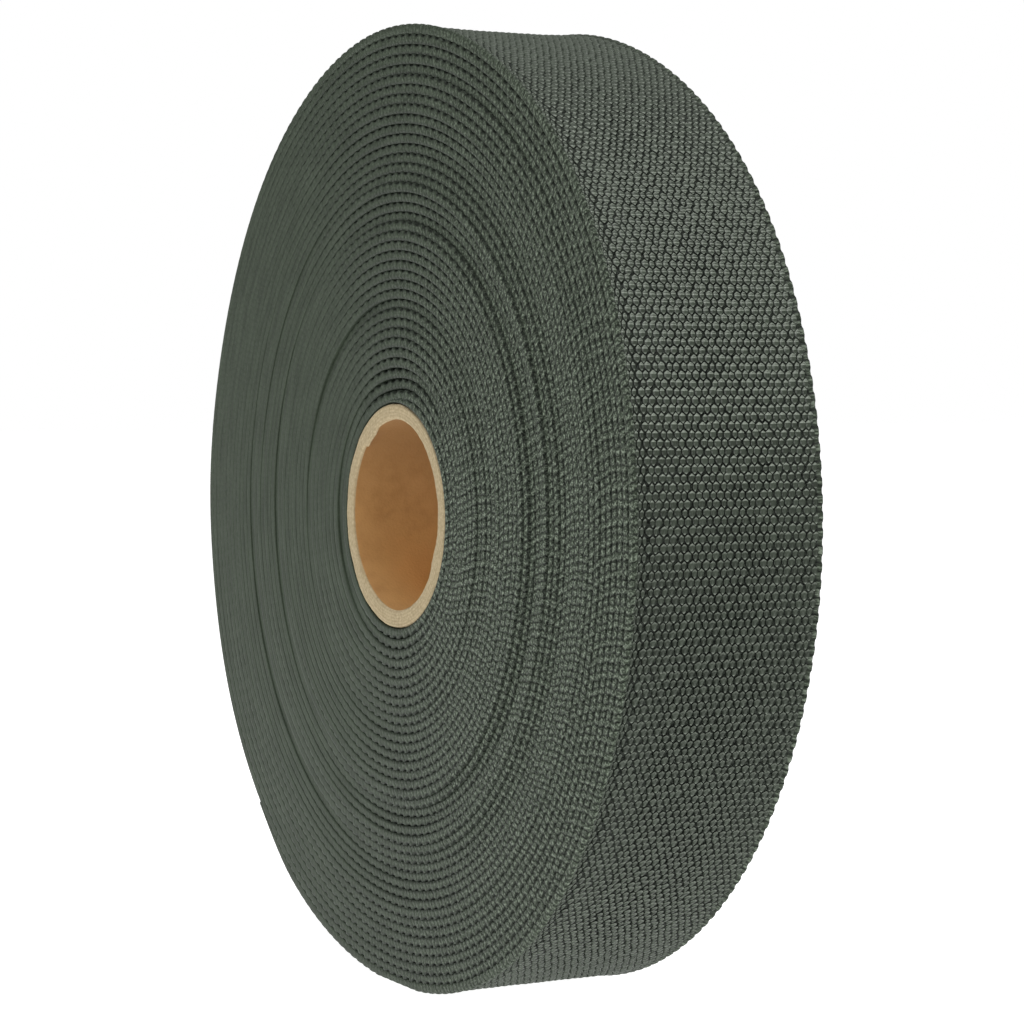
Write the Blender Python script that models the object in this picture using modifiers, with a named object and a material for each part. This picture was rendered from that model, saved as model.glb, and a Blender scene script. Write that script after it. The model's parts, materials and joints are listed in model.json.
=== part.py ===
"""Roll of heavy nylon webbing on a cardboard tube, standing on its rim.

The roll's axle runs along Y and the roll stands on the plane Z = 0. Both solids are turned about a
local Z axis, and an empty at the axle lays that axis along Y, with the local top towards -Y.
Angles go round the axle from +X towards +Z. Sizes are in metres, angles in degrees.
"""

import math

import bpy

STRAP_WIDTH = 0.0381
STRAP_THICKNESS = 0.00189
TURNS = 38.65

TUBE_BORE_RADIUS = 0.0194
TUBE_RADIUS = 0.02265
TUBE_EDGE = 0.0004
CLEARANCE = 0.0003
TUBE_STEPS = 72

# The cut end of the strap is pressed thin by the hot knife and reaches its full thickness after a while.
TAIL_ANGLE = 224.5
TAIL_STEP = 0.00065
TAIL_RAMP = 14.0
TAIL_FACE = 0.4

# The tread dips between the thicker selvedges, but is pressed level where the roll stands.
TREAD_DIP = 0.0005
SELVEDGE_INSET = 0.0008
SELVEDGE_DROP = 0.0009
STANDING_ANGLE = 270.7
FLAT_DEPTH = 0.0003
LEVEL_HALF_ANGLE = 8.0
LEVEL_FADE = 14.0
ROLL_STEPS = 121

# Swells and hollows of the wound form: where each lies, how far it stands out, how wide it is.
LUMPS = [
    # angle, rise, spread
    (40.0, 0.0007, 26.0),
    (98.0, 0.0011, 24.0),
    (150.0, -0.0003, 15.0),
    (178.0, 0.0010, 12.0),
    (205.0, 0.0016, 22.0),
    (265.0, -0.0015, 25.0),
]

# The turns wander sideways as they are wound, which shows as low steps on both side faces.
WANDER = [
    # radius, shift towards the local top
    (0.0330, 0.0003),
    (0.0415, -0.0003),
    (0.0560, 0.0004),
    (0.0592, -0.0004),
    (0.0650, 0.0003),
    (0.0718, -0.0004),
    (0.0800, 0.0003),
    (0.0900, 0.0),
]

SPIRAL_START = TUBE_RADIUS + CLEARANCE
RIM_RADIUS = SPIRAL_START + (TURNS + 1.0) * STRAP_THICKNESS


def clear_scene():
    for old in list(bpy.data.objects):
        bpy.data.objects.remove(old)


def smooth_step(share):
    share = min(max(share, 0.0), 1.0)
    return share * share * (3.0 - 2.0 * share)


def angle_between(first, second):
    """The smaller angle from one direction to the other, without its sign."""
    return abs((first - second + 180.0) % 360.0 - 180.0)


def lump_rise(angle):
    return sum(
        rise * math.exp(-((angle_between(angle, place) / spread) ** 2))
        for place, rise, spread in LUMPS
    )


def rim_radius(turned):
    """Radius of the outermost turn, at an angle counted from the strap's cut end."""
    spiral = RIM_RADIUS - STRAP_THICKNESS * turned / 360.0
    thinned = (STRAP_THICKNESS - TAIL_STEP) * (1.0 - smooth_step(turned / TAIL_RAMP))
    return spiral - thinned + lump_rise(TAIL_ANGLE + turned)


def rim_drop(across, off_stand):
    """How far the rim lies below the selvedge's crest, at a share of the strap's half width."""
    crest = 1.0 - SELVEDGE_INSET / (0.5 * STRAP_WIDTH)
    if across > crest:
        return SELVEDGE_DROP * ((across - crest) / (1.0 - crest)) ** 2
    dip = TREAD_DIP * smooth_step((off_stand - LEVEL_HALF_ANGLE) / LEVEL_FADE)
    return dip * (1.0 - (across / crest) ** 4)


AXLE_HEIGHT = rim_radius(STANDING_ANGLE - TAIL_ANGLE) - FLAT_DEPTH


def material(name, colour, roughness):
    """A Principled BSDF of one colour, given as linear red, green and blue."""
    made = bpy.data.materials.new(name)
    made.use_nodes = True
    shader = made.node_tree.nodes["Principled BSDF"]
    shader.inputs["Base Color"].default_value = (*colour, 1.0)
    shader.inputs["Roughness"].default_value = roughness
    shader.inputs["Metallic"].default_value = 0.0
    made.diffuse_color = (*colour, 1.0)
    return made


def turned_ring(name, section, steps):
    """A closed section of (radius, height) points, swept once round the local Z axis."""
    count = len(section)
    mesh = bpy.data.meshes.new(name + "_section")
    mesh.from_pydata(
        [(radius, 0.0, height) for radius, height in section],
        [(index, (index + 1) % count) for index in range(count)],
        [],
    )
    ring = bpy.data.objects.new(name, mesh)
    collection.objects.link(ring)
    screw = ring.modifiers.new("Turn", "SCREW")
    screw.axis = "Z"
    screw.angle = math.tau
    screw.steps = steps
    screw.render_steps = steps
    screw.use_merge_vertices = True
    screw.merge_threshold = 0.00001
    screw.use_smooth_shade = False
    ring.parent = axle
    return ring


def apply_modifiers(piece):
    bpy.context.view_layer.update()
    graph = bpy.context.evaluated_depsgraph_get()
    shaped = bpy.data.meshes.new_from_object(piece.evaluated_get(graph))
    piece.modifiers.clear()
    section = piece.data
    piece.data = shaped
    bpy.data.meshes.remove(section)


def finish(piece, surface):
    piece.data.materials.clear()
    piece.data.materials.append(surface)
    piece.data.shade_smooth()
    piece.data.set_sharp_from_angle(angle=math.radians(40.0))


def roll_section():
    """Outer side from top to bottom, then the bottom face inwards, the bore, and the top face outwards."""
    half = 0.5 * STRAP_WIDTH
    crest = half - SELVEDGE_INSET
    tread = [half, crest, 0.55 * half, 0.0, -0.55 * half, -crest, -half]
    bottom = [(radius, shift - half) for radius, shift in reversed(WANDER)]
    top = [(radius, shift + half) for radius, shift in WANDER]
    bore = [(SPIRAL_START, -half), (SPIRAL_START, half)]
    return [(RIM_RADIUS, height) for height in tread] + bottom + bore + top


def wind_out_of_round(roll):
    """Moves the turned rim onto the spiral of the last turn, with its lumps and its standing flat."""
    outermost_face_ring = WANDER[-1][0]
    for vertex in roll.data.vertices:
        x, y, height = vertex.co
        radius = math.hypot(x, y)
        step = round(math.atan2(y, x) / math.tau * ROLL_STEPS) % ROLL_STEPS
        turned = step * (360.0 - TAIL_FACE) / (ROLL_STEPS - 1)
        angle = TAIL_ANGLE + turned
        if radius > outermost_face_ring + CLEARANCE:
            across = abs(height) / (0.5 * STRAP_WIDTH)
            radius = rim_radius(turned) - rim_drop(across, angle_between(angle, STANDING_ANGLE))
        vertex.co.x = radius * math.cos(math.radians(angle))
        vertex.co.y = max(radius * math.sin(math.radians(angle)), -AXLE_HEIGHT)


def make_webbing():
    roll = turned_ring("webbing", roll_section(), ROLL_STEPS)
    apply_modifiers(roll)
    wind_out_of_round(roll)
    finish(roll, material("green_nylon", (0.088, 0.105, 0.084), 0.75))
    return roll


def make_core_tube():
    half = 0.5 * STRAP_WIDTH
    section = [
        (TUBE_RADIUS, half - TUBE_EDGE),
        (TUBE_RADIUS, TUBE_EDGE - half),
        (TUBE_RADIUS - TUBE_EDGE, -half),
        (TUBE_BORE_RADIUS + TUBE_EDGE, -half),
        (TUBE_BORE_RADIUS, TUBE_EDGE - half),
        (TUBE_BORE_RADIUS, half - TUBE_EDGE),
        (TUBE_BORE_RADIUS + TUBE_EDGE, half),
        (TUBE_RADIUS - TUBE_EDGE, half),
    ]
    tube = turned_ring("core_tube", section, TUBE_STEPS)
    apply_modifiers(tube)
    finish(tube, material("kraft_board", (0.33, 0.17, 0.075), 0.85))
    return tube


def centre_over_stand(roll):
    """Shifts the axle along X, so that the roll's box is centred over the origin."""
    reach = [vertex.co.x for vertex in roll.data.vertices]
    axle.location.x = -0.5 * (min(reach) + max(reach))


clear_scene()
collection = bpy.data.collections.new("webbing_roll")
bpy.context.scene.collection.children.link(collection)

axle = bpy.data.objects.new("axle", None)
collection.objects.link(axle)
axle.location = (0.0, 0.0, AXLE_HEIGHT)
axle.rotation_euler = (math.radians(90.0), 0.0, 0.0)

webbing = make_webbing()
make_core_tube()
centre_over_stand(webbing)
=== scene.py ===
# %% [markdown]
# # A roll of nylon webbing
# The object is one long woven strap, wound round a short cardboard tube. This lesson makes the strap
# flat first, as a loom does, and then winds every point of it onto the roll with one function. The
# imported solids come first, as a fixed frame that nothing here moves or resizes.

# %% Load the frame
import json
import math

import bmesh
import bpy
import numpy as np
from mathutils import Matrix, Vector

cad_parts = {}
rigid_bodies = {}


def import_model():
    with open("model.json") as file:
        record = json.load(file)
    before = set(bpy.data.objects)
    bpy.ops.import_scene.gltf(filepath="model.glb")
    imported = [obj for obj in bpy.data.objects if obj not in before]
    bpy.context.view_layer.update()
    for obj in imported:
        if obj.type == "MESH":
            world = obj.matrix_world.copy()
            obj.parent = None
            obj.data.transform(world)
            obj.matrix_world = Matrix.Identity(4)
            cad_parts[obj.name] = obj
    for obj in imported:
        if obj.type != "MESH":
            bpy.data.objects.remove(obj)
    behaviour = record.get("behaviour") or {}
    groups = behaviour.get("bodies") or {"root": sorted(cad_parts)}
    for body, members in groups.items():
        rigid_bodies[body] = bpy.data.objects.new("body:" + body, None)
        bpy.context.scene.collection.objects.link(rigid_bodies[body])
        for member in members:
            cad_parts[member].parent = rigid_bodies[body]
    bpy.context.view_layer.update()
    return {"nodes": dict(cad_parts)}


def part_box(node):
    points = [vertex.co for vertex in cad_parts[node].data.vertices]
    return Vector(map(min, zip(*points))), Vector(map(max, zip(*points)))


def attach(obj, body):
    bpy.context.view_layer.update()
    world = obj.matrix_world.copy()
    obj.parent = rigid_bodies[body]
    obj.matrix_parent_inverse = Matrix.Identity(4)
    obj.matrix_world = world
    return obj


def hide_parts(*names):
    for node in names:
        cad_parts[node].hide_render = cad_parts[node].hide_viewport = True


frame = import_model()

print("nodes:", sorted(frame["nodes"]))

# %% [markdown]
# ## Sizes of the roll
# The tube's solid gives the axle's place, the tube's radius and the strap's width. The rest are the
# roll's own driving sizes: how thick the strap is, how many turns it makes, where its cut end lies, and
# how far the wound form swells or sinks. The tube has sagged a little below the middle of the rim. Angles
# go round the axle from +X towards +Z, in degrees.

# %% Sizes
tube_low, tube_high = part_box("core_tube")
AXLE_X = 0.5 * (tube_low.x + tube_high.x)
AXLE_Z = 0.5 * (tube_low.z + tube_high.z)
CORE_SAG = 0.0008
CORE_Z = AXLE_Z - CORE_SAG
TUBE_RADIUS = 0.5 * (tube_high.x - tube_low.x)
TUBE_BORE_RADIUS = 0.0194
STRAP_WIDTH = tube_high.y - tube_low.y
HALF_WIDTH = 0.5 * STRAP_WIDTH
STRAP_THICKNESS = 0.00189
TURNS = 38.65
CLEARANCE = 0.0003
SPIRAL_START = TUBE_RADIUS + CLEARANCE
RIM_RADIUS = SPIRAL_START + (TURNS + 1.0) * STRAP_THICKNESS

TAIL_ANGLE = 224.5
TAIL_STEP = 0.00065
TAIL_RAMP = 14.0
TREAD_DIP = 0.0005
STANDING_ANGLE = 270.7
LEVEL_HALF_ANGLE = 8.0
LEVEL_FADE = 14.0

LUMPS = [
    # angle, rise, spread
    (40.0, 0.0007, 26.0),
    (98.0, 0.0011, 24.0),
    (150.0, -0.0003, 15.0),
    (178.0, 0.0010, 12.0),
    (205.0, 0.0016, 22.0),
    (265.0, -0.0015, 25.0),
]
WANDER = [
    # radius, shift of the turns towards -Y
    (0.0330, 0.0003),
    (0.0415, -0.0003),
    (0.0560, 0.0004),
    (0.0592, -0.0004),
    (0.0650, 0.0003),
    (0.0718, -0.0004),
    (0.0800, 0.0003),
    (0.0900, 0.0),
]
print("axle at", round(AXLE_X * 1000, 2), round(AXLE_Z * 1000, 2), "mm")
print("rim radius", round(RIM_RADIUS * 1000, 2), "mm")

# %% [markdown]
# ## The camera
# The photograph was taken from the right of the side face, almost level, from about three roll
# diameters away. The camera comes first, so that each piece can be looked at as soon as it is made.

# %% Camera
PHOTO_WIDTH = 1024
FOCAL_PIXELS = 2913.0
CAMERA_AZIMUTH = 61.73
CAMERA_ELEVATION = 2.61
CAMERA_DISTANCE = 0.5853
AIM_BESIDE_AXLE = 0.01469
AIM_ABOVE_AXLE = 0.00013


def aim(piece, target, azimuth, elevation, distance):
    """Puts a camera or lamp at a distance from a target, turned towards it."""
    turn = math.radians(azimuth)
    lift = math.radians(elevation)
    back = Vector((math.sin(turn) * math.cos(lift), -math.cos(turn) * math.cos(lift), math.sin(lift)))
    bpy.context.scene.collection.objects.link(piece)
    piece.location = target + distance * back
    piece.rotation_mode = "QUATERNION"
    piece.rotation_quaternion = (-back).to_track_quat("-Z", "Y")


camera_data = bpy.data.cameras.new("camera")
camera_data.sensor_width = 36.0
camera_data.lens = FOCAL_PIXELS / PHOTO_WIDTH * camera_data.sensor_width
camera_data.clip_start = 0.01
camera_data.clip_end = 50.0
camera = bpy.data.objects.new("camera", camera_data)
seen_point = Vector((AXLE_X + AIM_BESIDE_AXLE, 0.0, AXLE_Z + AIM_ABOVE_AXLE))
aim(camera, seen_point, CAMERA_AZIMUTH, CAMERA_ELEVATION, CAMERA_DISTANCE)
bpy.context.scene.camera = camera
print("lens", round(camera_data.lens, 1), "mm")

# %% [markdown]
# ## How the strap is wound
# A strap wound on a tube follows a spiral: each turn lies one thickness further out. The inner end is
# pressed thin, and the next few turns step up where they pass over it. A point of the flat strap is given
# by its place along the strap, across it and through its thickness. Walking along the spiral in small
# steps gives the length wound so far, and reading that table backwards gives the turn for any length.

# %% Spiral
STEP_FADE = 2.5
INNER_END_RAMP = 0.11
INNER_END_SHARE = 0.25
SPIRAL_SAMPLES = 40001


def smooth_step(share):
    share = np.clip(share, 0.0, 1.0)
    return share * share * (3.0 - 2.0 * share)


def angle_between(first, second):
    return np.abs((first - second + 180.0) % 360.0 - 180.0)


def angle_of(turns_wound):
    return TAIL_ANGLE + 360.0 * (TURNS - turns_wound)


def lump_rise(angle):
    rise = np.zeros_like(angle)
    for place, height, spread in LUMPS:
        rise += height * np.exp(-((angle_between(angle, place) / spread) ** 2))
    return rise


def inner_radius(turns_wound):
    """Radius of the strap's inner side after so many turns from its inner end."""
    past_end = np.maximum(turns_wound - INNER_END_RAMP, 0.0)
    whole = np.floor(past_end)
    part = past_end - whole
    stepped = np.exp(-whole / STEP_FADE)
    climbing = smooth_step((part - 1.0 + INNER_END_RAMP) / INNER_END_RAMP)
    growth = whole + (1.0 - stepped) * part + stepped * climbing
    radius = SPIRAL_START + STRAP_THICKNESS * growth * TURNS / (TURNS - INNER_END_RAMP)
    share = (radius - SPIRAL_START) / (RIM_RADIUS - SPIRAL_START)
    return radius + share**2 * lump_rise(angle_of(turns_wound))


spiral_turns = np.linspace(0.0, TURNS, SPIRAL_SAMPLES)
middle = inner_radius(spiral_turns) + 0.5 * STRAP_THICKNESS
steps = np.hypot(0.5 * (middle[1:] + middle[:-1]) * np.diff(spiral_turns) * math.tau, np.diff(middle))
spiral_lengths = np.concatenate([[0.0], np.cumsum(steps)])
STRAP_LENGTH = spiral_lengths[-1]
print("strap length", round(STRAP_LENGTH, 3), "m in", TURNS, "turns")

# %% [markdown]
# ## Winding a flat piece
# The same function winds the strap, the raised threads of its weave and its sealed end, so they always
# fit each other. It reads the flat coordinates from the mesh, works out angle and radius, and writes the
# points back. Some turns were laid a little deeper than their neighbours. On the right of the side face
# all turns bulge towards the near side, and on its left they have been worn level. The tread is pressed
# flat where the roll stands, and no point goes below the floor.

# %% Wind a flat piece onto the roll
RECESSED_TURNS = [
    # radius, angle, spread, depth
    (0.0255, 88.0, 22.0, 0.00050),
    (0.0277, 72.0, 28.0, 0.00050),
    (0.0262, 190.0, 50.0, 0.00030),
    (0.0392, 345.0, 45.0, 0.00020),
    (0.0415, 125.0, 40.0, 0.00050),
    (0.0586, 180.0, 40.0, 0.00022),
    (0.0605, 330.0, 45.0, 0.00045),
    (0.0624, 15.0, 35.0, 0.00030),
    (0.0655, 120.0, 45.0, 0.00025),
    (0.0660, 20.0, 30.0, 0.00030),
    (0.0718, 218.0, 50.0, 0.00020),
    (0.0885, 62.0, 25.0, 0.00030),
]
TURN_JITTER = 0.00005
JITTERS_A_TURN = 4
JITTER_SEED = 7
CREST_INSET = 0.0008
DIPPED_TURNS = 12.0
BULGE_WIDTH = 0.0015
BULGE_TURNS = 9.0
BULGE_PLACE = 350.0
BULGE_ANGLE = 62.0
WORN_PLACE = 186.0
WORN_ANGLE = 75.0
WORN_LEVEL = 0.95

jitter_count = JITTERS_A_TURN * int(TURNS + 2)
jitters = np.random.default_rng(JITTER_SEED).normal(0.0, TURN_JITTER, jitter_count)


def turn_at(radius, angle):
    """The turns wound where the strap passes an angle, nearest to a radius."""
    passes = np.arange(0.0, TURNS - 1.0) + (TURNS + (TAIL_ANGLE - angle) / 360.0) % 1.0
    return passes[np.argmin(np.abs(inner_radius(passes) - radius))]


def worn_at(angle):
    """How flat the left of the side face has been worn, at an angle round the axle."""
    return np.exp(-((angle_between(angle, WORN_PLACE) / WORN_ANGLE) ** 6))


def sideways_shift(turns_wound, radius):
    """How far the strap lies towards -Y from the middle of the roll."""
    shift = np.interp(radius, [row[0] for row in WANDER], [row[1] for row in WANDER])
    shift += np.interp(JITTERS_A_TURN * turns_wound, np.arange(jitter_count), jitters)
    shift *= 1.0 - WORN_LEVEL * worn_at(angle_of(turns_wound))
    for place, angle, spread, depth in RECESSED_TURNS:
        from_place = 360.0 * (turns_wound - turn_at(place, angle))
        shift -= depth * np.exp(-((from_place / spread) ** 2))
    return shift


def tread_dip(across, angle):
    """How far the strap sinks between its selvedges on the outside of the roll."""
    crest = 1.0 - CREST_INSET / HALF_WIDTH
    share = np.clip(np.abs(across) / HALF_WIDTH / crest, 0.0, 1.0)
    off_stand = angle_between(angle, STANDING_ANGLE)
    return TREAD_DIP * smooth_step((off_stand - LEVEL_HALF_ANGLE) / LEVEL_FADE) * (1.0 - share**4)


def bulge(across, turns_wound, angle):
    """How far the turns reach beyond the near side, all of it at their near edge."""
    off_tube = smooth_step(turns_wound / BULGE_TURNS)
    near_place = np.exp(-((angle_between(angle, BULGE_PLACE) / BULGE_ANGLE) ** 2))
    return BULGE_WIDTH * off_tube * near_place * (HALF_WIDTH - across) / STRAP_WIDTH


def flat_points(piece):
    values = np.empty(3 * len(piece.data.vertices), dtype=np.float32)
    piece.data.vertices.foreach_get("co", values)
    return values.reshape(-1, 3).astype(float)


def write_points(piece, points):
    piece.data.vertices.foreach_set("co", points.astype(np.float32).ravel())
    piece.data.update()


def wind(piece):
    """Moves a flat piece (X along the strap, Y across it, Z outwards) onto the roll."""
    along, across, height = flat_points(piece).T
    turns_wound = np.interp(along, spiral_lengths, spiral_turns)
    angle = angle_of(turns_wound)
    radius = inner_radius(turns_wound)
    from_tail = 360.0 * (TURNS - turns_wound)
    pressed = TAIL_STEP + (STRAP_THICKNESS - TAIL_STEP) * smooth_step(from_tail / TAIL_RAMP)
    pressed *= INNER_END_SHARE + (1.0 - INNER_END_SHARE) * smooth_step(turns_wound / INNER_END_RAMP)
    shift = sideways_shift(turns_wound, radius) + bulge(across, turns_wound, angle)
    on_tread = smooth_step((turns_wound - TURNS + DIPPED_TURNS) / (DIPPED_TURNS - 1.0))
    radius += (height + 0.5 * STRAP_THICKNESS) * pressed / STRAP_THICKNESS
    radius -= on_tread * tread_dip(across, angle)
    sag = CORE_SAG * (RIM_RADIUS - radius) / (RIM_RADIUS - SPIRAL_START)
    x = AXLE_X + radius * np.cos(np.radians(angle))
    z = AXLE_Z + radius * np.sin(np.radians(angle)) - sag
    write_points(piece, np.stack([x, across - shift, np.maximum(z, 0.0)], axis=1))


print("recessed turns:", len(RECESSED_TURNS), "drifts of the winding:", len(WANDER))

# %% [markdown]
# ## Working by hand, in code
# Each new piece starts as a primitive and is shaped in edit mode. An operator acts on all that is
# selected, so these helpers deselect everything, make one piece active, and select its points or faces
# by their place. They stand for the clicks of someone modelling by hand.

# %% Helpers for edit mode
NEAR = 0.00001


def only(piece):
    """Selects one object alone and makes it active."""
    for other in bpy.context.view_layer.objects:
        other.select_set(False)
    piece.select_set(True)
    bpy.context.view_layer.objects.active = piece


def place_in_mesh(piece):
    """Puts an object's place, turn and size into its mesh."""
    only(piece)
    bpy.ops.object.transform_apply(location=True, rotation=True, scale=True)


def pick(piece, wanted, kind="VERT"):
    """Selects the points, edges or faces of the piece in edit mode for which wanted(...) is true."""
    bpy.ops.mesh.select_mode(type=kind)
    bpy.ops.mesh.select_all(action="DESELECT")
    shape = bmesh.from_edit_mesh(piece.data)
    found = 0
    for part in {"VERT": shape.verts, "EDGE": shape.edges, "FACE": shape.faces}[kind]:
        if wanted(part):
            part.select_set(True)
            found += 1
    shape.select_flush_mode()
    bmesh.update_edit_mesh(piece.data)
    return found


def apply_modifier(piece, modifier):
    only(piece)
    bpy.ops.object.modifier_apply(modifier=modifier.name)


def array(piece, count, step, merge=False):
    """Repeats the piece and applies the Array at once."""
    modifier = piece.modifiers.new("Repeat", "ARRAY")
    modifier.count = count
    modifier.use_relative_offset = False
    modifier.use_constant_offset = True
    modifier.constant_offset_displace = step
    modifier.use_merge_vertices = merge
    modifier.merge_threshold = NEAR
    apply_modifier(piece, modifier)


def join(pieces):
    """Joins the pieces into the first of them."""
    only(pieces[0])
    for piece in pieces:
        piece.select_set(True)
    bpy.ops.object.join()
    return pieces[0]


def copy_of(piece, name):
    twin = piece.copy()
    twin.data = piece.data.copy()
    twin.name = name
    bpy.context.scene.collection.objects.link(twin)
    return twin


def angles_round(piece):
    """The angle of each wound point round the axle, in degrees."""
    x, y, z = flat_points(piece).T
    return np.degrees(np.arctan2(z - AXLE_Z, x - AXLE_X))


def add_uv(piece, along, across):
    """A UV map in centimetres, from places along the strap and across it or round its section."""
    corners = np.empty(len(piece.data.loops), dtype=np.int32)
    piece.data.loops.foreach_get("vertex_index", corners)
    places = 100.0 * np.stack([along, across], axis=1)[corners]
    layer = piece.data.uv_layers.new(name="strap")
    layer.data.foreach_set("uv", places.astype(np.float32).ravel())


def add_attribute(piece, name, values):
    layer = piece.data.attributes.new(name, "FLOAT", "POINT")
    layer.data.foreach_set("value", np.asarray(values, dtype=np.float32))


def triangles(piece):
    return sum(len(face.vertices) - 2 for face in piece.data.polygons)


print("helpers ready")

# %% [markdown]
# ## One repeat of the strap
# The strap's weave repeats every two picks, a pick being one pass of the weft across it. At each turn of
# the weft round the selvedge the edge swells into a loop, and between two loops it draws in, which is
# what makes the rows of dark dots on the side of the roll, deepened by painted shade in the material. One
# repeat is modelled as a block with its four long edges rounded, then sliced across. One notch is drawn
# into each outer shoulder, and the rest of the edge is pulled square, because the turns are pressed
# against each other.

# %% One repeat of the strap's body
PICK = 0.001524
REPEAT = 2.0 * PICK
STATIONS = [0.0, 0.24 * REPEAT, 0.42 * REPEAT, 0.82 * REPEAT]
SELVEDGE_ROUND = 0.00056
PRESSED_TOGETHER = 0.00018
BODY_HALF = 0.5 * (STRAP_THICKNESS + PRESSED_TOGETHER)

SHOULDER = BODY_HALF
CORNER = BODY_HALF - SELVEDGE_ROUND * (1.0 - math.sin(math.radians(45.0)))
EDGE_TOP = BODY_HALF - SELVEDGE_ROUND
NOTCHES = [
    # stations, height of the point, outwards, downwards
    ((0, 1), SHOULDER, -0.00020, 0.00020),
    ((0,), CORNER, -0.00032, 0.00018),
    ((1,), CORNER, -0.00027, 0.00016),
    ((0, 1), EDGE_TOP, -0.00004, 0.00001),
    ((2, 3), SHOULDER, 0.00036, 0.0),
    ((2, 3), CORNER, 0.00011, -0.00010),
    ((0, 1, 2, 3), -SHOULDER, 0.00030, 0.0),
    ((0, 1, 2, 3), -CORNER, 0.00008, 0.00008),
]


def slice_mesh(place, direction):
    bpy.ops.mesh.select_all(action="SELECT")
    bpy.ops.mesh.bisect(plane_co=place, plane_no=direction)


def is_at(point, stations, height, side):
    """Whether a point of the selvedge's section is one of those named by stations, height and side."""
    along = point.co.x % (REPEAT - NEAR)
    at_station = any(abs(along - STATIONS[station]) < 2.0 * NEAR for station in stations)
    at_edge = side * point.co.y > HALF_WIDTH - SELVEDGE_ROUND - NEAR
    return at_station and at_edge and abs(point.co.z - height) < 3.0 * NEAR


def strap_repeat(name, notch_share, ground=()):
    """One repeat of the strap's body, with its ground sunk at the given distances from both edges."""
    bpy.ops.mesh.primitive_cube_add(
        size=1.0,
        location=(0.5 * REPEAT, 0.0, 0.0),
        scale=(REPEAT, STRAP_WIDTH, 2.0 * BODY_HALF),
    )
    cell = bpy.context.object
    cell.name = name
    place_in_mesh(cell)
    bpy.ops.object.mode_set(mode="EDIT")
    pick(cell, lambda edge: abs(edge.verts[0].co.x - edge.verts[1].co.x) > NEAR, "EDGE")
    bpy.ops.mesh.bevel(offset=SELVEDGE_ROUND, segments=2, affect="EDGES")
    pick(cell, lambda face: abs(face.normal.x) > 0.9, "FACE")
    bpy.ops.mesh.delete(type="FACE")
    for place in STATIONS[1:]:
        slice_mesh((place, 0.0, 0.0), (1.0, 0.0, 0.0))
    for from_edge, depth in ground:
        for place in {HALF_WIDTH - from_edge, from_edge - HALF_WIDTH}:
            slice_mesh((0.0, place, 0.0), (0.0, 1.0, 0.0))
    for side in (-1.0, 1.0):
        shaped = 0
        for stations, height, outwards, downwards in NOTCHES:
            shaped += pick(cell, lambda point: is_at(point, stations, height, side))
            bpy.ops.transform.translate(value=(0.0, side * notch_share * outwards, -notch_share * downwards))
        print("points shaped on one side:", shaped)
    for from_edge, depth in ground:
        pick(cell, lambda point: point.co.z > 0.0 and abs(abs(point.co.y) - HALF_WIDTH + from_edge) < NEAR)
        bpy.ops.transform.translate(value=(0.0, 0.0, -depth))
    bpy.ops.object.mode_set(mode="OBJECT")
    return cell


inner_repeat = strap_repeat("inner_repeat", 1.0)
print("one repeat has", triangles(inner_repeat), "triangles")

# %% [markdown]
# ## The repeat of the last turn
# Only the last turn shows its broad side. There the raised threads stand on a sunk ground between two
# fuller selvedges, so its repeat is sliced lengthwise as well, and the ground is pushed down.

# %% The last turn's repeat
FLOAT_HEIGHT = 0.00045
GROUND = [
    # distance from the edge, depth of the ground
    (0.0006, 0.00012),
    (0.0010, 0.00036),
    (0.0016, FLOAT_HEIGHT),
    (0.0110, FLOAT_HEIGHT),
    (HALF_WIDTH, FLOAT_HEIGHT),
]

outer_repeat = strap_repeat("outer_repeat", 0.4, GROUND)
print("one repeat of the last turn has", triangles(outer_repeat), "triangles")

# %% [markdown]
# ## Winding the strap
# The strap is counted back from its cut end, so that the pattern runs on without a break from piece to
# piece. An Array modifier lays the repeats end to end, the open ends are closed, and the whole length is
# wound. The roll is kept in four lengths, because one mesh of all its turns would be too heavy. On the
# worn left of the side face the selvedges are pressed square before the winding, and the threads show
# less, so how crisp they are, with their painted highlights and painted shade, and how deep the painted
# shade of the dots is, are stored at each point.

# %% Strap pieces
LAST_TURN_REPEATS = 202
CRISP_PLACE = 0.0
CRISP_ANGLE = 72.0
CRISP_LEAST = 0.12
SQUARED_SHARE = 0.96
SQUARED_WIDTH = 1.6 * SELVEDGE_ROUND
SQUARED_HEIGHT = 0.4 * BODY_HALF
WORN_SOFTER = 0.5
CRISP_DOTS_LESS = 0.35
strap_repeats = int(STRAP_LENGTH / REPEAT)
inner_start = STRAP_LENGTH - strap_repeats * REPEAT


def body_uv(piece):
    """Centimetres along the strap, and centimetres round its section from the middle of the selvedge."""
    along, across, height = flat_points(piece).T
    round_section = height + np.sign(height) * (HALF_WIDTH - np.abs(across))
    add_uv(piece, along - inner_start, round_section)


def press_selvedges(piece):
    """Presses the strap's corners square where the left of the side face is worn flat."""
    points = flat_points(piece)
    worn = worn_at(angle_of(np.interp(points[:, 0], spiral_lengths, spiral_turns)))
    from_edge = HALF_WIDTH - np.abs(points[:, 1])
    pressed = SQUARED_SHARE * worn * (from_edge < SQUARED_WIDTH)
    points[:, 1] = np.sign(points[:, 1]) * (HALF_WIDTH - from_edge * (1.0 - pressed))
    off_broad_side = np.clip(BODY_HALF - np.abs(points[:, 2]), 0.0, None)
    filled = pressed * off_broad_side * (off_broad_side < SQUARED_HEIGHT)
    points[:, 2] += np.sign(points[:, 2]) * filled
    write_points(piece, points)


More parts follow.
